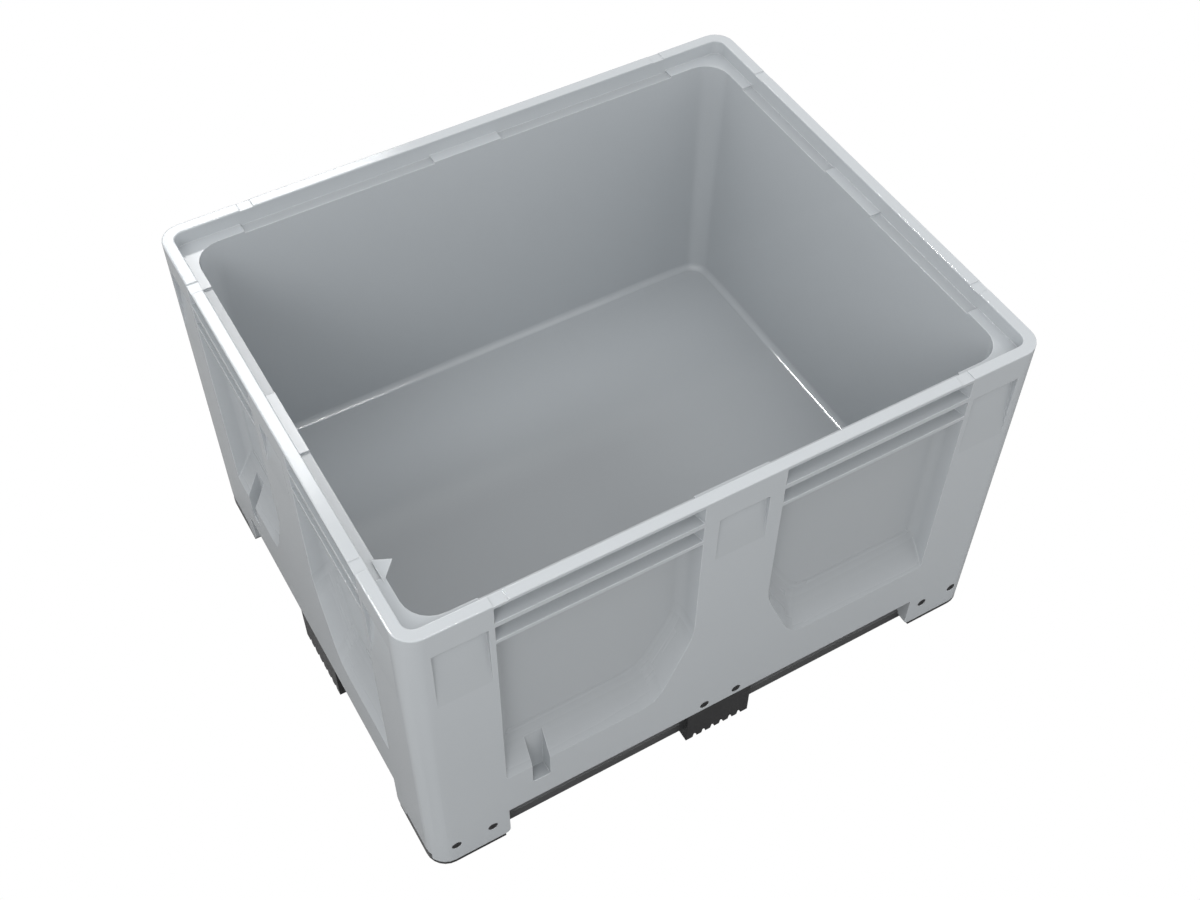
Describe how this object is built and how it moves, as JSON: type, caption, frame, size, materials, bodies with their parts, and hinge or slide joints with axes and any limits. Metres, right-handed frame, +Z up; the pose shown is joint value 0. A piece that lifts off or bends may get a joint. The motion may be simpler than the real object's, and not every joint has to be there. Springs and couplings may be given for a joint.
{
  "type": "plastic pallet container",
  "caption": "Open-topped rigid pallet container with hollow posts, set-back side panels and runners under its base.",
  "frame": {"origin": "on the ground under the middle of the container", "axes": "+X along the long side, +Z up, the front long side faces -Y"},
  "size_m": [1.2, 1, 0.75],
  "materials": {
    "grey_moulding": "grey polyolefin moulding with a fine satin grain",
    "black_moulding": "black polyolefin moulding, slightly glossy",
    "black_pin": "black moulded pin"
  },
  "bodies": {
    "root": {"container_body": "grey_moulding", "runner_front": "black_moulding", "runner_middle": "black_moulding", "runner_back": "black_moulding", "pin_front_1": "black_pin", "pin_front_2": "black_pin", "pin_front_3": "black_pin", "pin_front_4": "black_pin", "pin_front_5": "black_pin", "pin_front_6": "black_pin", "pin_back_1": "black_pin", "pin_back_2": "black_pin", "pin_back_3": "black_pin", "pin_back_4": "black_pin", "pin_back_5": "black_pin", "pin_back_6": "black_pin"}
  },
  "joints": []
}
